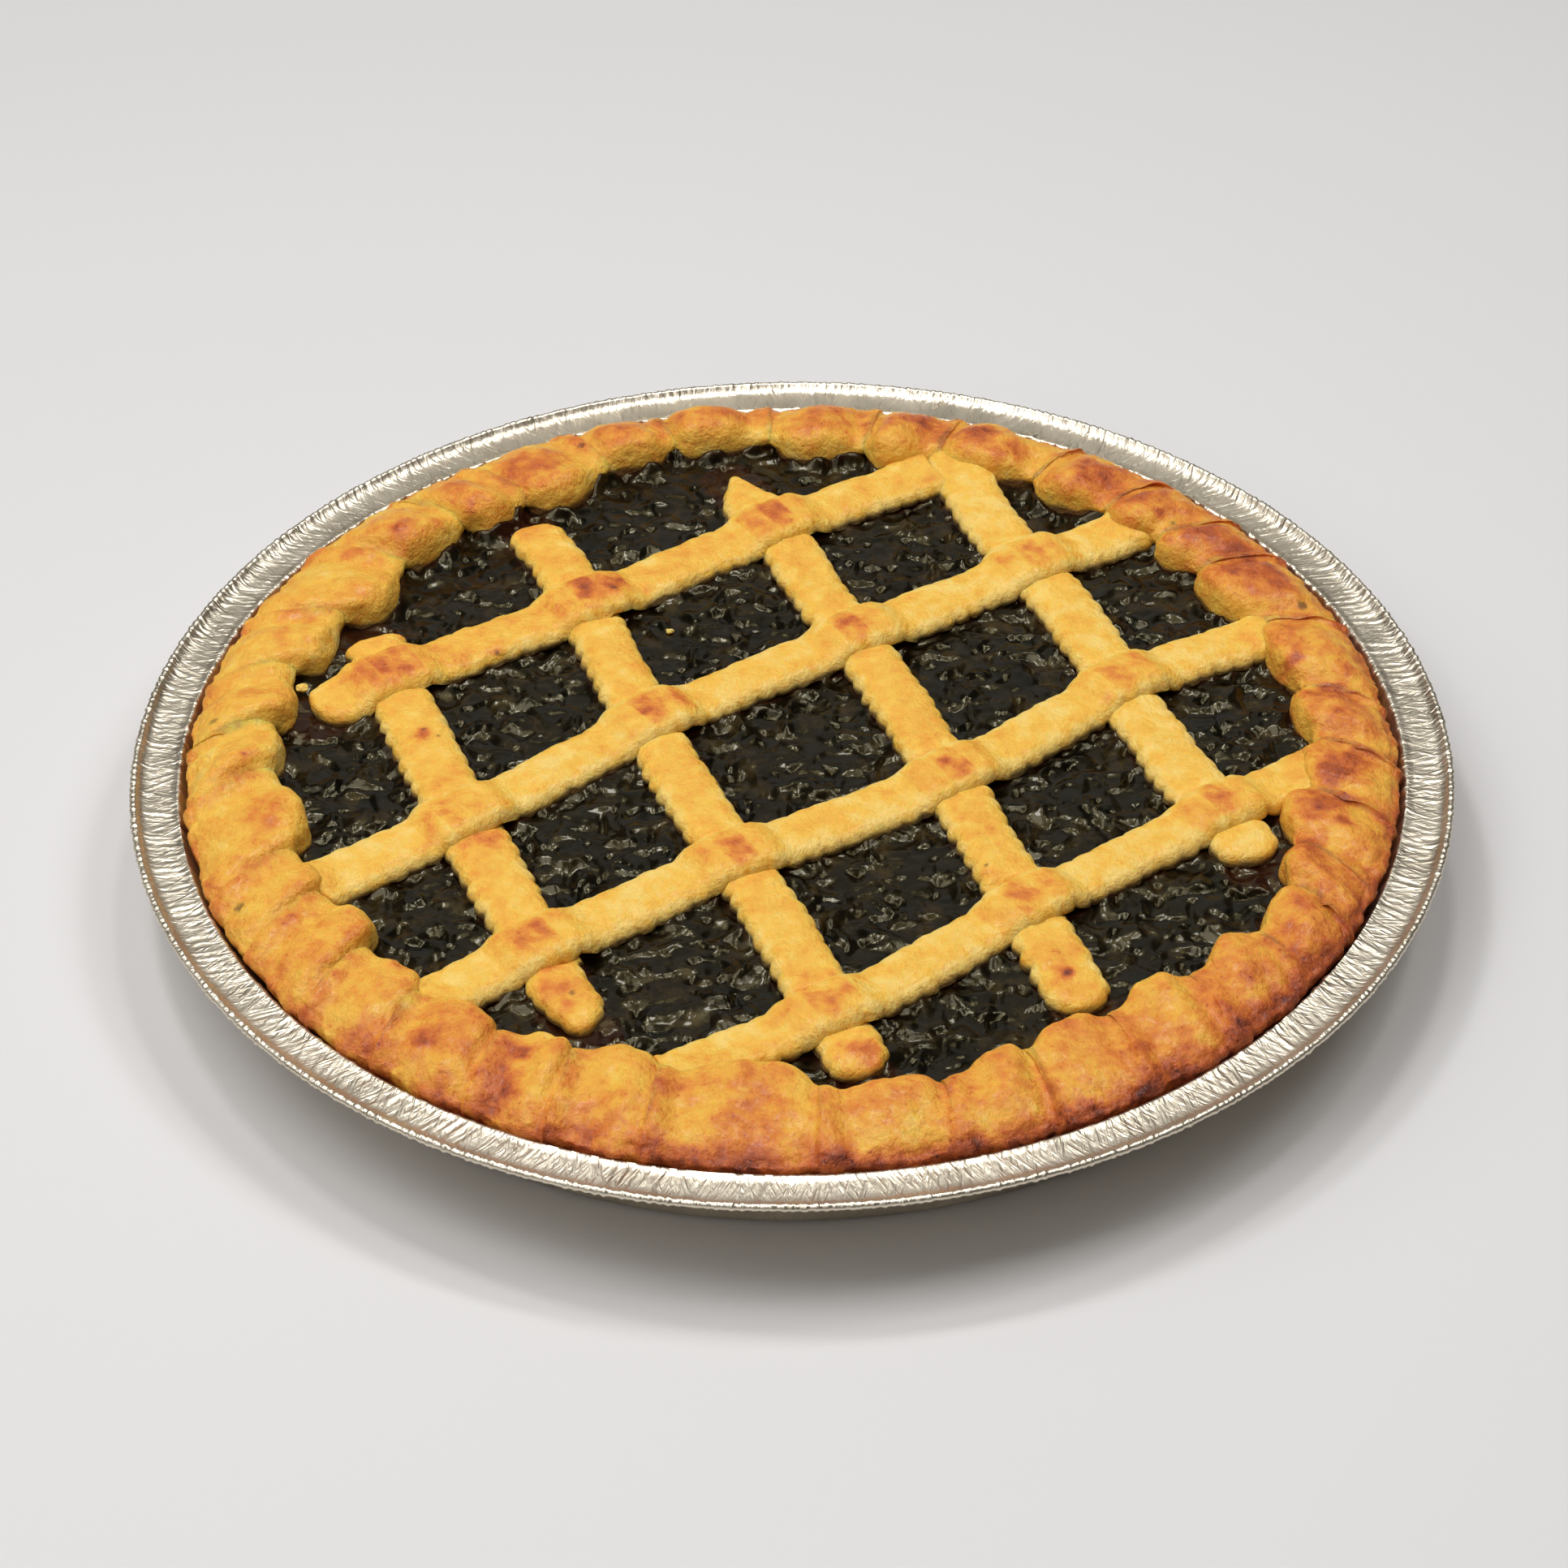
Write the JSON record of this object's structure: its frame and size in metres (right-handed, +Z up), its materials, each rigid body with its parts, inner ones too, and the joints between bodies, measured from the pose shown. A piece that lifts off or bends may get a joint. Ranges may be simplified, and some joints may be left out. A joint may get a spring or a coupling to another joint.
{
  "type": "lattice pie",
  "caption": "Round lattice pie of shortcrust pastry with a folded, lobed rim and dark jam filling, kept in its shallow foil baking pan with a flat flange and rolled bead.",
  "frame": {"origin": "middle of the pan's underside, on the surface that the pan stands on", "axes": "+Z up, the pie's shortest extent; -Y towards the picture's front, where the widest lobe of the rim is; +X to the right of the picture"},
  "size_m": [0.28, 0.2798, 0.0314],
  "materials": {
    "foil": "thin bright foil, pale warm silver",
    "crust": "baked shortcrust, golden with browner spots",
    "strip_dough": "baked shortcrust strips, pale gold with a light glaze",
    "jam": "near-black glossy jam"
  },
  "bodies": {
    "root": {"foil_pan": "foil", "pastry_crust": "crust", "jam_filling": "jam", "long_strip_1": "strip_dough", "long_strip_2": "strip_dough", "long_strip_3": "strip_dough", "long_strip_4": "strip_dough", "cross_strip_1": "strip_dough", "cross_strip_2": "strip_dough", "cross_strip_3": "strip_dough", "cross_strip_4": "strip_dough"}
  },
  "joints": []
}
